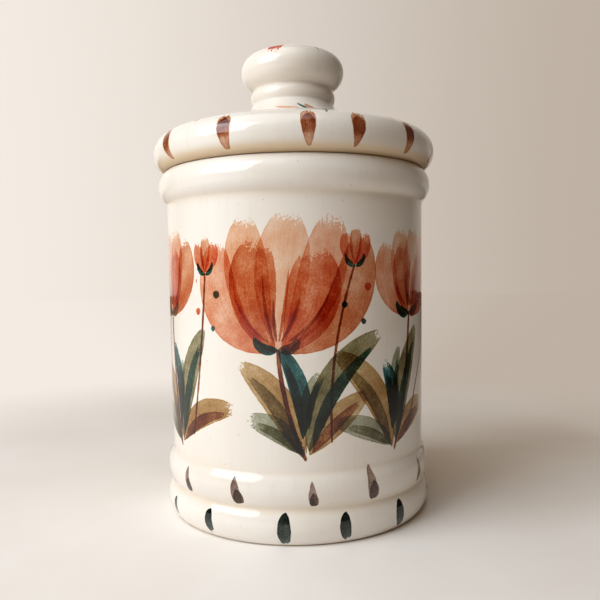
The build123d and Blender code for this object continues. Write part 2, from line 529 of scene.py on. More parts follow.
def stroke_places(stroke, canvas):
    """Each vertex's place in a stroke: across its spine, the half width there and the way along it.

    The spine is a parabola from start to end: the straight line plus 4 u (1 - u) bows to its left. The half
    width is u^a (1 - u)^b, scaled to its peak, and falls away as a straight slope beyond both ends.
    """
    share = np.linspace(0, 1, spine_points)[:, None]
    start, pull = np.array(stroke.start), np.subtract(stroke.end, stroke.start)
    left = np.array([-pull[1], pull[0]]) / np.hypot(*pull)
    spine = start + share * pull + 4 * share * (1 - share) * stroke.bow * left
    heading = np.gradient(spine, axis=0)
    heading /= np.hypot(*heading.T)[:, None]
    walked = np.r_[0, np.cumsum(np.hypot(*np.diff(spine, axis=0).T))]

    middle = spine.mean(axis=0)
    right = canvas.right - middle[0]
    if canvas.round:
        right = (right + canvas.round / 2) % canvas.round - canvas.round / 2
    reach = np.abs(spine - middle).max(axis=0) + stroke.width / 2 + 2 * stroke_margin
    close = (np.abs(right) < reach[0]) & (np.abs(canvas.up - middle[1]) < reach[1])
    near = np.flatnonzero(canvas.takes & close)
    points = np.c_[right[near] + middle[0], canvas.up[near]]
    offset = points[:, None] - spine
    nearest = np.argmin((offset**2).sum(axis=2), axis=1)
    offset = offset[np.arange(len(near)), nearest]
    along = walked[nearest] + (offset * heading[nearest]).sum(axis=1)
    across = heading[nearest, 0] * offset[:, 1] - heading[nearest, 1] * offset[:, 0]

    behind, ahead = stroke.belly
    share = np.clip(along / walked[-1], 0, 1)
    peak = behind / (behind + ahead)
    swell = share**behind * (1 - share) ** ahead / (peak**behind * (1 - peak) ** ahead)
    beyond = np.maximum(0, np.maximum(-along, along - walked[-1]))
    half = stroke.width / 2 * swell - beyond
    covered = half - np.abs(across) > -stroke_margin
    return near[covered], np.c_[across, half, along][covered], walked[-1]


def paint(skin, *canvases):
    """Writes strokes to a skin's vertices, each in the first layer where nothing lies within the margin.

    Layer k holds place_k (across, half width, along), habit_k (length, seed, dry end) and pigment_k (colour,
    fade). It returns how many layers are in use.
    """
    size = skin.radius.size
    place = np.tile((0.0, -stroke_margin, 0.0), (layer_count, size, 1))
    habit = np.tile((1.0, 0.0, 1.0), (layer_count, size, 1))
    pigment = np.ones((layer_count, size, 4))
    taken = np.zeros((layer_count, size), bool)
    used = 0
    for canvas, strokes in canvases:
        for seed, stroke in enumerate(strokes):
            near, places, length = stroke_places(stroke, canvas)
            free = np.flatnonzero(~taken[:, near].any(axis=1))
            if not free.size:
                raise ValueError(f"stroke {seed} finds no free layer on {skin.piece.name}")
            layer = free[0]
            used = max(used, layer + 1)
            taken[layer, near] = True
            place[layer, near] = places
            habit[layer, near] = (length, seed * seed_step, max(stroke.dry, shortest_dry))
            pigment[layer, near] = np.r_[linear(stroke.pigment) ** stroke.load, stroke.fade]
    for layer in range(used):
        for name, kind, field, values in (
            (f"place_{layer}", "FLOAT_VECTOR", "vector", place[layer]),
            (f"habit_{layer}", "FLOAT_VECTOR", "vector", habit[layer]),
            (f"pigment_{layer}", "FLOAT_COLOR", "color", pigment[layer]),
        ):
            skin.piece.data.attributes.new(name, kind, "POINT").data.foreach_set(field, values.ravel())
    return used


# Brushwork of the jar: cup blossoms on stems with blade leaves, unrolled at the wall's radius
class Blossom(NamedTuple):
    """A cup blossom: where its cup starts, how tall and wide it is, its lean and where its stem starts."""

    right: float
    up: float
    tall: float
    wide: float
    lean: float
    root: float


blossoms = (
    Blossom(-7, 72, 54, 58, 4, 3),
    Blossom(53, 84, 38, 40, 6, 42),
    Blossom(111, 70, 53, 56, -4, 106),
    Blossom(170, 86, 37, 39, -5, 160),
    Blossom(-124, 71, 54, 57, 5, -116),
    Blossom(-66, 85, 38, 41, -6, -57),
)
stem_bottom = 32.0
# A petal's side, tip, bow and width as shares of its blossom's size, then its pigment, load, fade and dry end
petals = (
    (0.02, 1.0, 0.02, 0.36, peach, 1.0, 0.1, 7),
    (-0.27, 0.97, 0.08, 0.31, peach, 1.3, 0.25, 6),
    (0.29, 0.99, -0.08, 0.31, coral, 0.7, 0.4, 8),
    (-0.47, 0.80, 0.18, 0.31, coral, 1.0, 0.45, 5),
    (0.48, 0.84, -0.18, 0.31, terracotta, 0.95, 0.45, 6),
    (-0.16, 0.82, 0.11, 0.33, terracotta, 0.8, 0.4, 8),
    (0.15, 0.75, -0.11, 0.36, coral, 1.1, 0.4, 7),
)
petal_start = 0.10  # petals start this share as far aside as they end
petal_belly = (0.95, 0.66)
# A vein's side and tip, then its pigment
veins = (
    (-0.34, 0.55, terracotta),
    (-0.13, 0.62, rust),
    (-0.05, 0.44, sienna),
    (0.04, 0.66, terracotta),
    (0.13, 0.50, rust),
    (0.34, 0.58, rust),
)
vein_start = 0.3  # likewise, times the vein's tip
vein_rise = 4  # veins start this far above the cup's foot
vein_bow = 0.2
calyx_rise = 1.5  # the calyx starts this far above the cup's foot
calyx = ((-1, 9.5, pine), (1, 8.0, olive))  # side, reach and pigment of its two leaves
calyx_lift = 5.5  # their tips lie this far above their start
calyx_bow = 2.6
stem_bow = 0.2


def blossom_strokes(blossom):
    """Petals pulled up from the cup's foot, fine veins, then a stem and a calyx of two small leaves."""
    right, up, tall, wide, lean, root = blossom
    strokes = []
    for side, tip, bow, width, pigment, load, fade, dry in petals:
        start = (right + petal_start * side * wide, up)
        end = (right + side * wide + lean, up + tip * tall)
        strokes.append(Stroke(start, end, bow * wide, width * wide, petal_belly, pigment, load, fade, dry))
    for side, tip, pigment in veins:
        start = (right + vein_start * side * wide * tip, up + vein_rise)
        end = (right + side * wide + lean * tip, up + tip * tall)
        bow = -side * vein_bow * wide
        strokes.append(Stroke(
            start, end, bow, width=1.5, belly=(0.4, 0.9), pigment=pigment, load=0.8, fade=0.6, dry=8
        ))
    foot = (right, up + calyx_rise)
    bow = stem_bow * (root - right)
    strokes.append(Stroke((root, stem_bottom), foot, bow, width=2.0, belly=(0.12, 0.1), pigment=sienna))
    for side, reach, pigment in calyx:
        end = (foot[0] + side * reach, foot[1] + calyx_lift)
        bow = -side * calyx_bow
        strokes.append(Stroke(
            foot, end, bow, width=4.2, belly=(0.6, 0.9), pigment=pigment, load=0.95, fade=0.3, dry=2
        ))
    return strokes


# A leaf's lean in radians, length, width and where it leaves the stem, then its two pigments
leaves = (
    (-0.62, 44, 12.0, 0, khaki, olive),
    (0.50, 50, 11.5, 2, olive, pine),
    (-0.22, 33, 7.5, 7, pine, pine),
    (0.98, 33, 10.5, 1, khaki, sienna),
    (-1.12, 30, 9.0, 1, sage, olive),
    (0.20, 27, 6.0, 11, sage, pine),
)
leaf_start = (1.2, 1)  # beside the stem and above its foot
leaf_sway = 0.14  # how far leans vary
leaf_growth = 0.13  # how far lengths vary, as a share
leaf_bow = 0.11  # as a share of the length
leaf_bow_sway = 0.04
leaf_shade = (0.04, 0.9)  # where the darker stroke starts and ends, as shares of the leaf
leaf_shade_bow = 0.6  # as shares of the leaf's own
leaf_shade_width = 0.45


def leaf_strokes(number, blossom):
    """Blade leaves that fan out from a stem's foot, each a wash with a darker stroke on its lower side.

    Their leans and lengths vary with sines of the blossom's number.
    """
    strokes = []
    for place, (lean, reach, width, rise, wash, shade) in enumerate(leaves):
        sway = np.sin(3.1 * number + 1.7 * place)
        tilt = lean + leaf_sway * sway
        length = reach * (1 + leaf_growth * np.sin(2.3 * number + place))
        start = np.array([blossom.root + leaf_start[0] * np.sign(lean), stem_bottom + leaf_start[1] + rise])
        pull = length * np.array([np.sin(tilt), np.cos(tilt)])
        bow = np.sign(lean) * length * (leaf_bow + leaf_bow_sway * sway)
        dry = 5 + 2 * sway
        strokes.append(Stroke(
            start, start + pull, bow, width=width, belly=(0.8, 0.75), pigment=wash, fade=0.3, dry=dry
        ))
        low, high = (start + share * pull for share in leaf_shade)
        bow, width = leaf_shade_bow * bow, leaf_shade_width * width
        strokes.append(Stroke(
            low, high, bow, width=width, belly=(0.7, 0.9), pigment=shade, load=0.8, fade=0.35, dry=7
        ))
    return strokes


bud_aside = 30  # from the start of its blossom
bud_height = 97
bud_root = (10, 6)  # where its stem starts, from the foot of the blossom's stem
bud_petals = ((-1, coral, 1.1), (1, vermilion, 0.75), (0, terracotta, 0.8))  # side, pigment and load
bud_spread = 3.2  # how far its petals end to the side
bud_rise = 14  # and above its foot
bud_calyx = 4.0  # how far its small leaves reach, out and up
bud_dabs = (vermilion, pine, slate)


def bud_strokes(number, blossom):
    """A bud on a thin stem in the gap to the right of a blossom, with round dabs below it."""
    middle = blossom.right + bud_aside + 3 * np.sin(2 * number)
    low = np.array([blossom.root + bud_root[0], stem_bottom + bud_root[1]])
    high = np.array([middle, bud_height + 9 * np.sin(2.6 * number + 2)])
    strokes = [Stroke(
        low, high, bow=4 * np.sin(number + 1), width=1.3, belly=(0.1, 0.1), pigment=sienna, load=0.9
    )]
    for side, pigment, load in bud_petals:
        start, tip = high - (0, 0.5), high + np.array([side * bud_spread + 0.6, bud_rise - 2 * abs(side)])
        strokes.append(Stroke(
            start, tip, bow=-side * 2.2, width=5.4, belly=(0.75, 0.6),
            pigment=pigment, load=load, fade=0.35, dry=3,
        ))
    for side in (-1, 1):
        start, tip, bow = high - (0, 1.5), high + (side * bud_calyx, bud_calyx), -side * 1.3
        strokes.append(Stroke(
            start, tip, bow, width=2.2, belly=(0.6, 0.9), pigment=pine, load=0.9, fade=0.2, dry=1
        ))
    for place in range(len(bud_dabs)):
        spot = high + np.array([(-1) ** place * (5.5 - place), -9 - 6.5 * place])
        size = 3.3 - 0.4 * place
        pigment = bud_dabs[(place + number) % len(bud_dabs)]
        start, end = spot - (0, size / 2), spot + (0.4, size / 2)
        strokes.append(Stroke(
            start, end, bow=0.1, width=size, belly=(0.5, 0.5), pigment=pigment, load=0.85, fade=0.2, dry=0.4
        ))
    return strokes


# Angles of the drops in degrees, then what varies from drop to drop, in turn
upper_bead_drops = (-49.9, -23.4, 5.7, 30.4, 60.7, 90, 121, 153, -175, -143, -112, -80)
upper_drop_foot = 15.0
upper_drop_width = 3.9
upper_drop_reaches = (10.6, 10.8, 9.9, 14.0)
upper_drop_slants = (-0.6, -1.2, -0.5, -1.2, -1.0)
dark_foot_reach = 0.56  # as a share of the drop's own
dark_foot_width = 4.1
lower_bead_drops = (-60.8, -36.6, -5.6, 18.4, 44.6, 73.0, 103, 133, 163, -167, -131, -95)
lower_drop_middle = 6.7
lower_drop_half = 5.9  # half of a drop's length at size 1
lower_drop_width = 4.9
lower_drop_sizes = (0.66, 0.82, 1.06, 0.93, 0.96)
rim_drops = (-55.2, -24.6, 5.1, 23.0, 47.3, 71.0, 99, 128, 155, -178, -148, -118, -88)
rim_drop_slants = (2.4, 0.9, 0.3, -0.8, -1.0, -0.5)
rim_drop_length = 18.0


def in_turn(values, number):
    """The value for this number when they are used one after another, over and over."""
    return values[number % len(values)]


def bead_strokes():
    """Grey-brown tear drops with a dark foot round the upper bead, and dark lenses round the lower one."""
    strokes = []
    for number, turn in enumerate(upper_bead_drops):
        right = radians(turn) * wall_radius
        size, reach = 1 - 0.11 * (-1) ** number, in_turn(upper_drop_reaches, number)
        sway = in_turn(upper_drop_slants, number)
        start, end = (right + 1.4 * sway, upper_drop_foot + reach), (right - 0.1 * sway, upper_drop_foot)
        strokes.append(Stroke(
            start, end, bow=0.4 * sway, width=upper_drop_width * size, belly=(0.75, 0.36),
            pigment=umber, load=0.5, dry=0.5,
        ))
        start = (right + 0.6 * sway, upper_drop_foot + dark_foot_reach * reach)
        strokes.append(Stroke(
            start, end, bow=0.1, width=dark_foot_width * size, belly=(0.6, 0.36),
            pigment=umber, load=0.75, dry=0.5,
        ))
    for number, turn in enumerate(lower_bead_drops):
        right = radians(turn) * wall_radius
        sway, size = np.sin(1.9 * number + 1), in_turn(lower_drop_sizes, number)
        start = (right - 0.5 * sway, lower_drop_middle + lower_drop_half * size)
        end = (right + 0.9, lower_drop_middle - lower_drop_half * size)
        bow, width = -1.1 - 0.3 * sway, lower_drop_width * size
        strokes.append(Stroke(
            start, end, bow, width=width, belly=(0.5, 0.5), pigment=slate, load=1.6, fade=0.68, dry=1.6
        ))
    return strokes


outside_mouth = 2.5  # the jar's outside lies at least this far outside its mouth
jar_outside = jar.radius > mouth_radius + outside_mouth
jar_wall = Canvas(wall_radius * jar.angle, jar.height, jar_outside, 2 * pi * wall_radius)
jar_strokes = bead_strokes()
for number, blossom in enumerate(blossoms):
    jar_strokes += blossom_strokes(blossom) + leaf_strokes(number, blossom) + bud_strokes(number, blossom)
jar_layers = paint(jar, (jar_wall, jar_strokes))


# Brushwork of the lid: drops round its rim, and short strokes on the dome about the knob
def compass(turn):
    """Unit vectors on a canvas seen from above: away from its middle at this angle, and square to that."""
    return np.array([np.sin(turn), -np.cos(turn)]), np.array([np.cos(turn), np.sin(turn)])


def rim_strokes():
    """Rust drops pulled over the rim: a dry speckled head, a full dark shoulder and a lighter point.

    Places are aside, as shares of the drop's slant, and along the outline from the top of the rim.
    """
    strokes = []
    for number, turn in enumerate(rim_drops):
        right = radians(turn) * lid_radius
        sway, size = in_turn(rim_drop_slants, number), 1 + 0.05 * np.sin(1.7 * number)
        tip, waist, neck, top, head = (
            (right + aside * sway, rim_top_walk + place)
            for aside, place in (
                (1.4, -rim_drop_length * size), (0.6, -14.5), (-0.3, -4.2), (-0.4, -1.2), (-0.8, 1.0)
            )
        )
        strokes.append(Stroke(
            tip, top, bow=0.5 * sway, width=6.0, belly=(0.9, 0.42),
            pigment=rust, load=0.64, fade=0.1, dry=3.2,
        ))
        bow = -0.3 * sway
        strokes.append(Stroke(
            neck, waist, bow, width=5.4, belly=(0.45, 0.7), pigment=sienna, load=0.85, fade=0.7, dry=4.0
        ))
        strokes.append(Stroke(
            neck, head, bow=0, width=3.6, belly=(0.2, 0.3), pigment=rust, load=0.5, fade=0.2, dry=5
        ))
    return strokes


dome_petal_count = 13
dome_petal_reach = 41  # from the axis
dome_petal_sway = 7
dome_petals = ((coral, 9), (pine, 5), (peach, 10), (terracotta, 8), (olive, 6))  # pigment and width
dome_touch_count = 9
dome_touches = ((coral, 0.9, 3.0), (slate, 0.7, 1.4))  # pigment, load and width
dome_touch_ends = (48, 59.0)  # from the axis


def dome_strokes():
    """Petals and leaves that radiate from the knob's foot over the dome, and touches nearer its edge."""
    strokes = []
    for number in range(dome_petal_count):
        facing, beside = compass(2 * pi * (number + 0.25 * np.sin(5 * number)) / dome_petal_count)
        pigment, width = in_turn(dome_petals, number)
        start = (knob_foot_radius + 2) * facing
        reach = dome_petal_reach + dome_petal_sway * np.sin(2.2 * number + 1)
        end = reach * facing + 4 * np.sin(3 * number) * beside
        bow = 1.5 * np.sin(number)
        strokes.append(Stroke(
            start, end, bow, width=width, belly=(0.7, 0.55), pigment=pigment, load=0.95, fade=0.3, dry=6
        ))
    for number in range(dome_touch_count):
        facing = compass(radians(-40 + 40 * number + 12 * (number % 2)))[0]
        pigment, load, width = in_turn(dome_touches, number)
        start, end = dome_touch_ends[0] * facing, dome_touch_ends[1] * facing
        strokes.append(Stroke(
            start, end, bow=0.5, width=width, belly=(0.75, 0.5), pigment=pigment, load=load, fade=0.2, dry=2
        ))
    return strokes


rim_inner = lid_top_edge - 8  # the rim's canvas reaches in as far as this
dome_low = lid_rim_top - 4.5  # the dome's canvas reaches down as far as this
lid_outside = lid.height > lid_paint_low
rim_top = np.argmin(np.hypot(lid.height - lid_rim_top, lid.radius - lid_top_edge))
rim_top_walk = lid.along[rim_top]
lid_rim = Canvas(
    lid_radius * lid.angle, lid.along, lid_outside & (lid.radius > rim_inner), 2 * pi * lid_radius
)
lid_dome = Canvas(
    lid.radius * np.sin(lid.angle), -lid.radius * np.cos(lid.angle), lid_outside & (lid.height > dome_low), 0
)
lid_layers = paint(lid, (lid_rim, rim_strokes()), (lid_dome, dome_strokes()))


# Brushwork of the knob: a rosette of petals on its crown, and touches on its flared foot
rosette_petals = (-23, 37, 97, 157, 217, 277)  # degrees
rosette_leaves = (24, 152)
rosette_start = 3.0  # from the crown's middle
rosette_reach = 16.5
long_petal = 26.0  # the first petal reaches this far, over the crown's edge
rosette_leaf_ends = ((14, -2), (23.5, 3.6))  # away from the crown's middle and aside
flare_groups = 5  # times round
# A touch's start and end, width, pigment and load
flare_touches = (
    ((5.5, -1.2), (-7.0, 0.7), 2.1, peach, 1.4),
    ((9.5, -1.4), (4.0, 3.0), 1.7, pine, 0.85),
    ((13.0, -1.6), (7.6, 2.6), 2.3, rust, 0.7),
)
flare_start = (-0.10, 4.0)  # turn of the first group, and how far above the foot's edge it lies


def rosette_strokes():
    """Coral petals pulled out from the crown's middle, one of them over its edge, with two thin leaves."""
    strokes = []
    for number, turn in enumerate(rosette_petals):
        facing = compass(radians(turn))[0]
        reach = rosette_reach + 1.2 * np.cos(2 * number) if number else long_petal
        pigment = (vermilion, coral)[number % 2]
        start, end = rosette_start * facing, reach * facing
        strokes.append(Stroke(
            start, end, bow=0.8, width=7.4, belly=(0.7, 0.5), pigment=pigment, load=1.1, fade=0.1, dry=6
        ))
    for turn in rosette_leaves:
        facing, beside = compass(radians(turn))
        start, end = (away * facing + aside * beside for away, aside in rosette_leaf_ends)
        strokes.append(Stroke(
            start, end, bow=0.8, width=1.3, belly=(0.5, 0.7), pigment=umber, load=0.6, fade=0.3, dry=1
        ))
    return strokes


def flare_strokes():
    """Slanting touches of peach, pine and rust on the upper part of the knob's flared foot."""
    strokes = []
    for number in range(flare_groups):
        turn = 2 * pi * number / flare_groups + flare_start[0]
        group = (turn * knob_foot_radius, flare_walk + flare_start[1])
        for start, end, width, pigment, load in flare_touches:
            start, end = np.add(start, group), np.add(end, group)
            strokes.append(Stroke(
                start, end, bow=0.4, width=width, belly=(0.4, 0.8),
                pigment=pigment, load=load, fade=0.3, dry=1.5,
            ))
    return strokes


crown_low = knob_widest + 1
flare_inner = knob_core_radius + 4
crown_walk = knob.along.max() - knob.along  # from the middle of the crown
knob_crown = Canvas(
    crown_walk * np.sin(knob.angle), -crown_walk * np.cos(knob.angle), knob.height > crown_low, 0
)
knob_outside = (knob.radius > flare_inner) & (knob.height < knob_neck)
flare_foot = np.argmin(np.hypot(knob.height - knob_seat, knob.radius - knob_foot_radius))
flare_walk = knob.along[flare_foot]
knob_flare = Canvas(knob_foot_radius * knob.angle, knob.along, knob_outside, 2 * pi * knob_foot_radius)
knob_layers = paint(knob, (knob_crown, rosette_strokes()), (knob_flare, flare_strokes()))


def node(tree, kind, links, **settings):
    """Adds a shader node with its settings and its inputs, each a value or another node's output."""
    made = tree.nodes.new("ShaderNode" + kind)
    for name, value in settings.items():
        setattr(made, name, value)
    for socket, value in links.items():
        if isinstance(value, bpy.types.NodeSocket):
            tree.links.new(value, made.inputs[socket])
        else:
            made.inputs[socket].default_value = value
    return made.outputs


def colour(hex_colour):
    """A hex colour as a socket value."""
    return (*linear(hex_colour), 1.0)


def emptied(owner):
    """The node tree of a material or world, without its nodes."""
    owner.use_nodes = True
    owner.node_tree.nodes.clear()
    return owner.node_tree


def place_in_mm(tree):
    """The place on a piece, in millimetres."""
    place = node(tree, "TexCoord", {})["Object"]
    return node(tree, "VectorMath", {0: place, "Scale": 1 / MM}, operation="SCALE")[0]


def end_material(tree, tone, rough, height, refraction):
    """Ends a material's nodes with its tone, roughness, relief in millimetres and index of refraction."""
    bump = node(tree, "Bump", {"Height": height, "Distance": MM, "Strength": 1.0})[0]
    links = {"Base Color": tone, "Roughness": rough, "IOR": refraction, "Normal": bump}
    node(tree, "OutputMaterial", {"Surface": node(tree, "BsdfPrincipled", links)[0]})


# Marks of the brush
edge_wander = 0.55  # how far a stroke's edge wanders
edge_soft = 0.3
bristle = 0.42  # spacing of the brush's bristle marks
bristle_run = 16.0
puddle = 0.75  # how far pigment gathers inside an edge
puddle_load = 0.42
least_load = 0.3
streak_load = 0.3  # how much the load follows the bristles, then the clouds, then the grain
cloud_load = 0.75
grain_load = 0.35
streak_bite = -0.45  # how far the bristles and the grain eat into the dry end, as shares of it
grain_bite = -0.65
dry_soft = 0.22  # softness of its marks, as a share of it
noise_low, noise_high = 0.3, 0.7  # between these lie most values of a noise node


def brushed(tree, ground, layer, wander, cloud, grain):
    """The ground colour seen through one layer of strokes: pigment to the power of how much of it lies there.

    A stroke lies where its half width exceeds the distance from its spine. Its load gathers at the edge,
    follows the bristles, clouds and grain, and breaks into bristle marks over the dry end.
    """
    place = node(tree, "Attribute", {}, attribute_name=f"place_{layer}")["Vector"]
    habit = node(tree, "Attribute", {}, attribute_name=f"habit_{layer}")["Vector"]
    pigment = node(tree, "Attribute", {}, attribute_name=f"pigment_{layer}")
    across, half, along = node(tree, "SeparateXYZ", {0: place})
    length, seed, dry = node(tree, "SeparateXYZ", {0: habit})
    side = node(tree, "Math", {0: across}, operation="ABSOLUTE")[0]
    inside = node(tree, "Math", {0: half, 1: side}, operation="SUBTRACT")[0]
    inside = node(tree, "Math", {0: wander, 1: edge_wander, 2: inside}, operation="MULTIPLY_ADD")[0]
    covered = node(tree, "MapRange", {0: inside, 1: 0.0, 2: edge_soft}, interpolation_type="SMOOTHSTEP")[0]

    hair = node(tree, "Math", {0: across, 1: bristle}, operation="DIVIDE")[0]
    run = node(tree, "Math", {0: along, 1: bristle_run}, operation="DIVIDE")[0]
    streak_place = node(tree, "CombineXYZ", {0: hair, 1: run, 2: seed})[0]
    streak = node(tree, "TexNoise", {"Vector": streak_place, "Scale": 1.0, "Detail": 2.0})[0]
    streak = node(tree, "MapRange", {0: streak, 1: noise_low, 2: noise_high})[0]

    left = node(tree, "Math", {0: length, 1: along}, operation="SUBTRACT")[0]
    left = node(tree, "Math", {0: left, 1: dry}, operation="DIVIDE")[0]
    for mark, bite in ((streak, streak_bite), (grain, grain_bite)):
        left = node(tree, "Math", {0: mark, 1: bite, 2: left}, operation="MULTIPLY_ADD")[0]
    bristled = node(tree, "MapRange", {0: left, 1: 0.0, 2: dry_soft}, interpolation_type="SMOOTHSTEP")[0]

    load = least_load
    for mark, share in ((streak, streak_load), (cloud, cloud_load), (grain, grain_load)):
        load = node(tree, "Math", {0: mark, 1: share, 2: load}, operation="MULTIPLY_ADD")[0]
    gathered = node(tree, "MapRange", {0: inside, 1: 0.0, 2: puddle, 3: puddle_load, 4: 0.0})[0]
    load = node(tree, "Math", {0: load, 1: gathered}, operation="ADD")[0]
    way = node(tree, "Math", {0: along, 1: length}, operation="DIVIDE")[0]
    gone = node(tree, "Math", {0: way, 1: pigment["Alpha"]}, operation="MULTIPLY", use_clamp=True)[0]
    kept = node(tree, "Math", {0: 1.0, 1: gone}, operation="SUBTRACT")[0]
    for share in (kept, covered, bristled):
        load = node(tree, "Math", {0: load, 1: share}, operation="MULTIPLY")[0]
    seen = node(tree, "Gamma", {"Color": pigment["Color"], "Gamma": load})[0]
    links = {"Factor": 1.0, 6: ground, 7: seen}
    return node(tree, "Mix", links, data_type="RGBA", blend_type="MULTIPLY")[2]


# Tones of the glaze
cream = "#f1eee9"
warm_cream = "#ebe5dc"
thin_tone = "#e2d9cd"
# warm tone of glaze gathered in hollows, partly painted shade, and painted warm shade on undersides
pool_and_shade_tone = "#dbc198"
# painted dark shade on the lid's rolled-under edge at the joint
hem_shade_tone = "#9a7444"
iron = "#7a5a3e"
pale_clay = "#d9c4a6"
dark_clay = "#bfa585"

# Marks of the glaze: blots, spacings and heights in millimetres
drift_size = 38
run_size = (2.6, 2.6, 34)
cloud_size = 9.0
grain_size = 0.8
wander_size = 2.4
peel_size = 9.0
speck_spacing = 6.5
pinhole_spacing = 4.2
peel_height = 0.08
run_height = 0.012
pinhole_height = -0.05

# Where marks of the glaze start and end, and how much they show
thin_start, thin_end, thin_share = 0.55, 0.8, 0.3  # of the runs' noise
pool_and_shade_end, hem_shade_end, pool_and_shade_share = 0.5, 1.2, 0.8  # of the gathered glaze and painted shade, then of the painted dark shade at the joint
speck_start, speck_end, speck_share = 0.02, 0.045, 0.5  # as shares of the spacing
pinhole_start, pinhole_end = 0.03, 0.09
wettest, dullest = 0.04, 0.08  # roughness of the gloss
clay_roughness = 0.85
glaze_refraction = 1.5
bare_top = 0.7  # height above which the foot is glazed
bare_fade = 0.4  # height below that over which the glaze runs out


def glazed_stoneware(name, layers):
    """Thrown stoneware under a thick gloss glaze: drifting cream, warm where glaze gathers and with painted
    shade on undersides and at the joint, with iron specks.

    The eye gets a wet gloss with a slight orange peel, faint runs of slip, pinholes, and colour that lies
    below the gloss. The foot ring stays bare, dry and sandy.
    """
    material = bpy.data.materials.new(name)
    tree = emptied(material)
    place = place_in_mm(tree)
    drift = node(tree, "TexNoise", {"Vector": place, "Scale": 1 / drift_size, "Detail": 2.0})[0]
    shrink = tuple(1 / size for size in run_size)
    runs = node(tree, "VectorMath", {0: place, 1: shrink}, operation="MULTIPLY")[0]
    runs = node(tree, "TexNoise", {"Vector": runs, "Scale": 1.0, "Detail": 3.0})[0]
    cloud = node(tree, "TexNoise", {"Vector": place, "Scale": 1 / cloud_size, "Detail": 3.0})[0]
    grain = node(tree, "TexNoise", {"Vector": place, "Scale": 1 / grain_size, "Detail": 2.0})[0]
    warmth, cloud, grain = (
        node(tree, "MapRange", {0: blots, 1: noise_low, 2: noise_high})[0] for blots in (drift, cloud, grain)
    )
    wander = node(tree, "TexNoise", {"Vector": place, "Scale": 1 / wander_size, "Detail": 3.0})[0]
    wander = node(tree, "Math", {0: wander, 1: 0.5}, operation="SUBTRACT")[0]

    # The gathered glaze share carries painted shade too: warm where it is low, painted dark shade at the
    # joint where it is high
    pool_and_shade = node(tree, "Attribute", {}, attribute_name="pool_and_shade")["Fac"]
    thin = node(tree, "MapRange", {0: runs, 1: thin_start, 2: thin_end, 4: thin_share})[0]
    links = {0: pool_and_shade, 1: 0.0, 2: pool_and_shade_end, 4: pool_and_shade_share}
    pooling_and_shade = node(tree, "MapRange", links, interpolation_type="SMOOTHSTEP")[0]
    hem_shade = node(tree, "MapRange", {0: pool_and_shade, 1: pool_and_shade_end, 2: hem_shade_end, 4: pool_and_shade_share})[0]
    ground = colour(cream)
    for share, tone in ((warmth, warm_cream), (thin, thin_tone), (pooling_and_shade, pool_and_shade_tone), (hem_shade, hem_shade_tone)):
        ground = node(tree, "Mix", {"Factor": share, 6: ground, 7: colour(tone)}, data_type="RGBA")[2]
    for layer in range(layers):
        ground = brushed(tree, ground, layer, wander, cloud, grain)

    speck = node(tree, "TexVoronoi", {"Vector": place, "Scale": 1 / speck_spacing})[0]
    speck = node(tree, "MapRange", {0: speck, 1: speck_start, 2: speck_end, 3: speck_share, 4: 0.0})[0]
    bare = node(tree, "Attribute", {}, attribute_name="bare")["Fac"]
    links = {"Factor": grain, 6: colour(pale_clay), 7: colour(dark_clay)}
    clay = node(tree, "Mix", links, data_type="RGBA")[2]
    for share, tone in ((speck, colour(iron)), (bare, clay)):
        ground = node(tree, "Mix", {"Factor": share, 6: ground, 7: tone}, data_type="RGBA")[2]

    links = {0: drift, 1: noise_low, 2: noise_high, 3: wettest, 4: dullest}
    gloss = node(tree, "MapRange", links)[0]
    rough = node(tree, "Mix", {"Factor": bare, 2: gloss, 3: clay_roughness}, data_type="FLOAT")[0]

    peel = node(tree, "TexNoise", {"Vector": place, "Scale": 1 / peel_size, "Detail": 1.5})[0]
    height = node(tree, "Math", {0: peel, 1: peel_height}, operation="MULTIPLY")[0]
    height = node(tree, "Math", {0: runs, 1: run_height, 2: height}, operation="MULTIPLY_ADD")[0]
    pit = node(tree, "TexVoronoi", {"Vector": place, "Scale": 1 / pinhole_spacing})[0]
    pit = node(tree, "MapRange", {0: pit, 1: pinhole_start, 2: pinhole_end, 3: pinhole_height, 4: 0.0})[0]
    height = node(tree, "Math", {0: height, 1: pit}, operation="ADD")[0]
    end_material(tree, ground, rough, height, glaze_refraction)
    return material


# Tones and marks of the silicone, in millimetres
biscuit = "#ddccb2"
dark_biscuit = "#d3bf9f"
dust_size = 12.0
matt_size = 0.5
matt_height = 0.012
satin_low, satin_high = 0.42, 0.55  # roughness
silicone_refraction = 1.41


def moulded_silicone():
    """Compression-moulded silicone: an even biscuit colour, satin, with a fine matt skin and some dust."""
    material = bpy.data.materials.new("moulded_silicone")
    tree = emptied(material)
    place = place_in_mm(tree)
    dust = node(tree, "TexNoise", {"Vector": place, "Scale": 1 / dust_size, "Detail": 3.0})[0]
    tone = node(tree, "MapRange", {0: dust, 1: noise_low, 2: noise_high})[0]
    links = {"Factor": tone, 6: colour(biscuit), 7: colour(dark_biscuit)}
    ground = node(tree, "Mix", links, data_type="RGBA")[2]
    links = {0: dust, 1: noise_low, 2: noise_high, 3: satin_low, 4: satin_high}
    rough = node(tree, "MapRange", links)[0]
    matt = node(tree, "TexNoise", {"Vector": place, "Scale": 1 / matt_size, "Detail": 2.0})[0]
    height = node(tree, "Math", {0: matt, 1: matt_height}, operation="MULTIPLY")[0]
    end_material(tree, ground, rough, height, silicone_refraction)
    return material


for skin, layers in ((jar, jar_layers), (lid, lid_layers), (knob, knob_layers)):
    bare = np.clip((bare_top - skin.height) / bare_fade, 0, 1)
    skin.piece.data.attributes.new("bare", "FLOAT", "POINT").data.foreach_set("value", bare)
    skin.piece.data.materials.append(glazed_stoneware("glazed_" + skin.piece.name, layers))
seal.piece.data.materials.append(moulded_silicone())
for skin, cad_node, body in (
    (jar, "jar_body", "jar"),
    (seal, "seal_ring", "seal"),
    (lid, "lid", "lid"),
    (knob, "knob", "lid"),
):
    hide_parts(cad_node)
    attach(skin.piece, body)
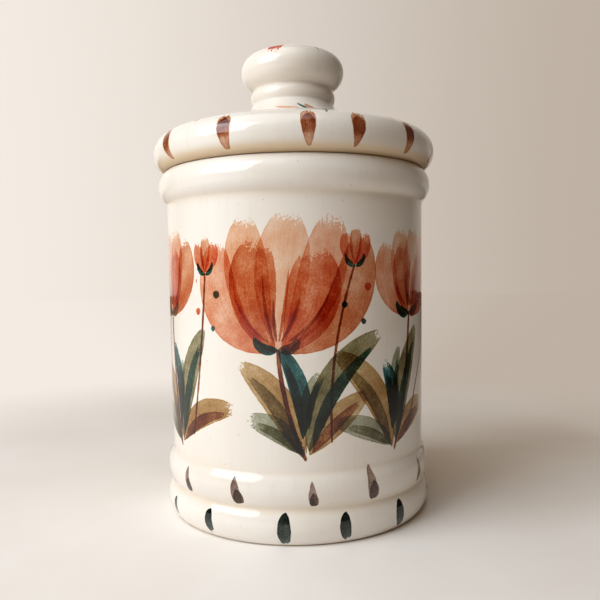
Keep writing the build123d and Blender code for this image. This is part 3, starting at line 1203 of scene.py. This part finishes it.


# Studio, in metres
# The backdrop has painted light: pale on the left, where the window falls, and painted shade to the right
backdrop_lit_left = "#f4ebe2"
backdrop_shaded_right = "#beb1a4"
backdrop_turn = 0.45  # sine of the angle to either side at which the backdrop stops changing
room = "#5a5047"  # what lies behind the camera, as the glaze mirrors it
room_end, wall_start = 0.5, 0.78  # how far a mirrored ray points away: room below, backdrop above
shade_left = "#a5875a"  # light from the room that fills the shadows
shade_right = "#3f2a12"
shade_turn = 0.7  # as for the backdrop
floor_radius = 3.0
floor_first_ring = 0.05
floor_rings = 40
floor_spokes = 96
floor_near = 0.17  # from the jar's axis to where the floor starts to fade into the backdrop
floor_far = 0.40
pale_wash = "#f5f3f1"
dark_wash = "#efebe7"
wash_blot = 1 / 14  # width of a blot
wash_roughness = 0.6
wash_refraction = 1.45
board_end = (0.12, 0.4)  # between these places to the right the board's bounce gives way to a painted dark shade, unseen by the camera
board_shade_beyond = "#4a3820"


def left_to_right(tree, direction, turn, left, right):
    """A tone that changes smoothly from the left to the right."""
    side = node(tree, "SeparateXYZ", {0: direction})[0]
    share = node(tree, "MapRange", {0: side, 1: -turn, 2: turn}, interpolation_type="SMOOTHSTEP")[0]
    return node(tree, "Mix", {"Factor": share, 6: colour(left), 7: colour(right)}, data_type="RGBA")[2]


def studio_world():
    """The pale backdrop for the camera, with painted light on the left and painted shade to the right, a dim
    room before it for reflections, a warm fill for the rest.
    """
    world = bpy.data.worlds.new("studio")
    bpy.context.scene.world = world
    tree = emptied(world)
    rays = node(tree, "LightPath", {})
    direction = node(tree, "TexCoord", {})["Generated"]
    wall = left_to_right(tree, direction, backdrop_turn, backdrop_lit_left, backdrop_shaded_right)
    fill = left_to_right(tree, direction, shade_turn, shade_left, shade_right)
    away = node(tree, "SeparateXYZ", {0: direction})[1]
    behind = node(tree, "MapRange", {0: away, 1: room_end, 2: wall_start}, interpolation_type="SMOOTHSTEP")[0]
    mirrored = node(tree, "Mix", {"Factor": behind, 6: colour(room), 7: wall}, data_type="RGBA")[2]
    lit = node(tree, "Mix", {"Factor": rays["Is Glossy Ray"], 6: fill, 7: mirrored}, data_type="RGBA")[2]
    links = {0: rays["Is Camera Ray"], 1: rays["Is Transmission Ray"]}
    seen = node(tree, "Math", links, operation="MAXIMUM")[0]
    tone = node(tree, "Mix", {"Factor": seen, 6: lit, 7: wall}, data_type="RGBA")[2]
    sky = node(tree, "Background", {"Color": tone, "Strength": 1.0})[0]
    node(tree, "OutputWorld", {"Surface": sky})


def limewashed_board():
    """A board under a pale, matt limewash with faint blots.

    The camera sees it fade into the backdrop with distance. For the light that it throws back, a painted
    dark shade takes over towards the right, unseen by the camera.
    """
    material = bpy.data.materials.new("limewashed_board")
    tree = emptied(material)
    place = node(tree, "TexCoord", {})["Object"]
    seen = node(tree, "LightPath", {})["Is Camera Ray"]
    unseen = node(tree, "Math", {0: 1.0, 1: seen}, operation="SUBTRACT")[0]
    reach = node(tree, "VectorMath", {0: place}, operation="LENGTH")["Value"]
    far = node(tree, "MapRange", {0: reach, 1: floor_near, 2: floor_far}, interpolation_type="SMOOTHSTEP")[0]
    far = node(tree, "Math", {0: far, 1: seen}, operation="MULTIPLY")[0]
    # towards the right, for rays other than the camera's, painted dark shade
    side = node(tree, "SeparateXYZ", {0: place})[0]
    beyond = node(tree, "MapRange", {0: side, 1: board_end[0], 2: board_end[1]})[0]
    beyond = node(tree, "Math", {0: beyond, 1: unseen}, operation="MULTIPLY")[0]

    blot = node(tree, "TexNoise", {"Vector": place, "Scale": 1 / wash_blot, "Detail": 4.0})[0]
    blot = node(tree, "MapRange", {0: blot, 1: noise_low, 2: noise_high})[0]
    wash = colour(pale_wash)
    for share, tone in ((blot, dark_wash), (beyond, board_shade_beyond)):
        wash = node(tree, "Mix", {"Factor": share, 6: wash, 7: colour(tone)}, data_type="RGBA")[2]
    links = {"Base Color": wash, "Roughness": wash_roughness, "IOR": wash_refraction}
    board = node(tree, "BsdfPrincipled", links)[0]
    outward = node(tree, "VectorMath", {0: place}, operation="NORMALIZE")[0]
    # the backdrop's painted light and shade, seen far off
    tone = left_to_right(tree, outward, backdrop_turn, backdrop_lit_left, backdrop_shaded_right)
    wall = node(tree, "Emission", {"Color": tone, "Strength": 1.0})[0]
    mixed = node(tree, "MixShader", {0: far, 1: board, 2: wall})[0]
    node(tree, "OutputMaterial", {"Surface": mixed})
    return material


def studio_floor():
    """A wide disc about the jar: rings whose radii grow in an even ratio, with a fan inside the first one."""
    rings = np.geomspace(floor_first_ring, floor_radius, floor_rings)
    turns = np.linspace(0, 2 * pi, floor_spokes, endpoint=False)
    radius, turn = np.meshgrid(rings, turns, indexing="ij")
    places = np.c_[(radius * np.cos(turn)).ravel(), (radius * np.sin(turn)).ravel(), np.zeros(radius.size)]
    grid = np.arange(radius.size).reshape(radius.shape)
    right = np.roll(grid, -1, axis=1)
    quads = np.stack([grid[:-1], grid[1:], right[1:], right[:-1]], axis=-1).reshape(-1, 4)
    fan = np.stack([np.full(turns.size, radius.size), grid[0], right[0]], axis=-1)
    mesh = bpy.data.meshes.new("studio_floor")
    mesh.from_pydata(np.vstack([places, np.zeros(3)]).tolist(), [], quads.tolist() + fan.tolist())
    mesh.update()
    mesh.materials.append(limewashed_board())
    floor = bpy.data.objects.new("studio_floor", mesh)
    bpy.context.collection.objects.link(floor)


def softbox(name, place, aim, width, height, power, tint):
    """A rectangular lamp that faces a point."""
    lamp = bpy.data.lights.new(name, "AREA")
    lamp.shape = "RECTANGLE"
    lamp.size, lamp.size_y = width, height
    lamp.energy = power
    lamp.color = tint
    holder = bpy.data.objects.new(name, lamp)
    holder.location = place
    facing = mathutils.Vector(aim) - mathutils.Vector(place)
    holder.rotation_euler = facing.to_track_quat("-Z", "Y").to_euler()
    bpy.context.collection.objects.link(holder)


jar_middle = mathutils.Vector((0, 0, 0.09))
window_turn, window_rise, window_reach = radians(-58), radians(33), 1.0  # from the jar's middle
window_side = window_reach * np.cos(window_rise)
window_place = jar_middle + mathutils.Vector((
    window_side * np.sin(window_turn), -window_side * np.cos(window_turn), window_reach * np.sin(window_rise)
))
overhead_place = (-0.35, -0.4, 1.25)
studio_world()
studio_floor()
softbox("window", window_place, jar_middle, width=0.74, height=0.66, power=8.25, tint=(0.905, 0.955, 1.0))
softbox("overhead", overhead_place, jar_middle, width=1.2, height=1.2, power=6.6, tint=(0.9, 0.96, 1.0))

# Camera
camera_place = (0, -0.295, 0.1008)
camera_pitch, camera_yaw, camera_roll = radians(2.186), radians(0.36), radians(-0.85)
lens = bpy.data.cameras.new("photo_lens")
lens.sensor_width = 36.0
lens.lens = 39.31
lens.clip_start = 0.01
camera = bpy.data.objects.new("photo_camera", lens)
aim = mathutils.Euler((pi / 2 - camera_pitch, 0, -camera_yaw), "XYZ").to_quaternion()
camera.rotation_mode = "QUATERNION"
camera.rotation_quaternion = aim @ mathutils.Quaternion((0, 0, 1), camera_roll)
camera.location = camera_place
bpy.context.collection.objects.link(camera)
bpy.context.scene.camera = camera
bpy.context.scene.view_settings.view_transform = "Standard"
